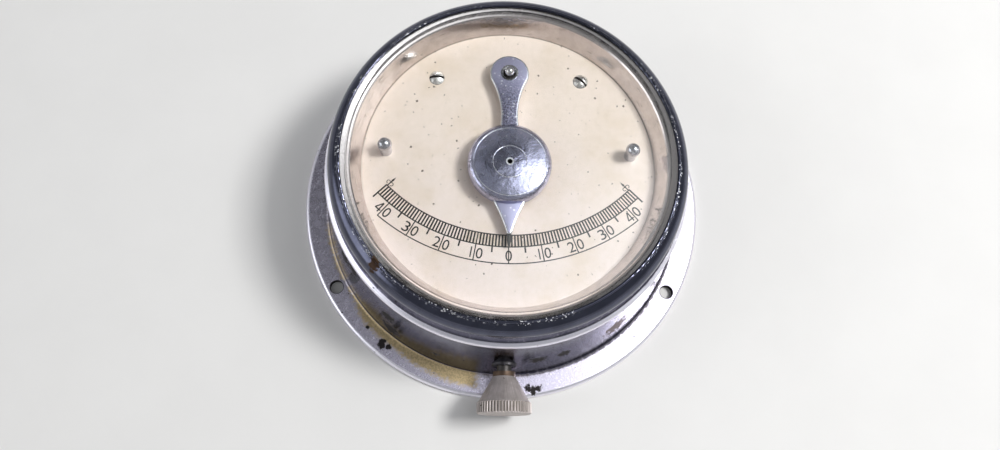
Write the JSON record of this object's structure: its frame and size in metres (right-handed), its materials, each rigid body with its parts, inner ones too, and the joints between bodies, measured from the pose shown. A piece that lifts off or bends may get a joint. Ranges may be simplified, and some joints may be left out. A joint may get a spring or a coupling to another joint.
{
  "type": "pendulum clinometer",
  "caption": "Round flanged bulkhead clinometer: a free pendulum swings over a dial behind bevelled glass, and a knurled thumbscrew through the wall locks it.",
  "frame": {"origin": "centre of the mounting flange's back face, in the plane that lies on the bulkhead", "axes": "+Z out through the glass, +Y towards the top of the dial, +X to the dial's right; the lock screw leaves the wall along -Y"},
  "size_m": [0.14, 0.1456, 0.045],
  "materials": {
    "plated_case": "worn polished plating over brass",
    "plated_bezel": "polished plating over brass",
    "bevelled_glass": "clear, bevelled edge",
    "gasket": "matt",
    "polished_ring": "polished, lightly scratched",
    "dial_enamel": "cream enamel, slightly stained",
    "pillar_brass": "turned",
    "screw_steel": "turned",
    "plated_screws": "polished",
    "plated_posts": "polished",
    "bearing_brass": "turned",
    "washer_steel": "turned",
    "arbor_steel": "polished",
    "plated_bush": "polished",
    "satin_arm": "satin",
    "black_tip": "black, matt",
    "polished_bob": "polished, two scribed circles",
    "plated_rivet": "polished",
    "lock_arm_brass": "sawn and filed",
    "hub_brass": "turned",
    "nut_brass": "turned",
    "tip_steel": "turned",
    "stem_steel": "turned",
    "collar_copper": "copper-coloured, dull",
    "knob_nickel": "brushed nickel plate"
  },
  "bodies": {
    "case": {"case_body": "plated_case", "bezel_ring": "plated_bezel", "glass": "bevelled_glass", "glass_gasket": "gasket", "reflector_ring": "polished_ring", "dial_plate": "dial_enamel", "dial_pillars": "pillar_brass", "pillar_screws": "screw_steel", "dial_screws": "plated_screws", "stop_post_left": "plated_posts", "stop_post_right": "plated_posts", "rear_bush": "bearing_brass", "front_bush": "bearing_brass", "thrust_washer": "washer_steel", "lock_bush": "plated_bush", "lock_nut": "nut_brass"},
    "pendulum": {"arbor": "arbor_steel", "arm_bush": "plated_bush", "pendulum_arm": "satin_arm", "index_tip": "black_tip", "bob": "polished_bob", "bob_rivet": "plated_rivet", "lock_arm": "lock_arm_brass", "lock_hub": "hub_brass", "hub_screw": "screw_steel"},
    "lock_point": {"lock_tip": "tip_steel"},
    "lock_knob": {"lock_stem": "stem_steel", "knob_collar": "collar_copper", "lock_knob": "knob_nickel"}
  },
  "joints": [
    {"name": "pendulum_swing", "type": "hinge", "parent": "case", "child": "pendulum", "pos_m": [0, 0.03, 0], "axis": [0, 0, 1], "range_deg": [-48, 48]},
    {"name": "lock_slide", "type": "slide", "parent": "case", "child": "lock_point", "axis": [0, 1, 0], "range_m": [-0.00243, 0.00162]},
    {"name": "lock_turn", "type": "hinge", "parent": "lock_point", "child": "lock_knob", "pos_m": [0, -0.06, 0.0115], "axis": [0, 1, 0], "range_deg": [-1081, 721]}
  ],
  "couplings": [
    {"joint": "lock_turn", "follows": "lock_slide", "rad_per_m": 7757}
  ]
}
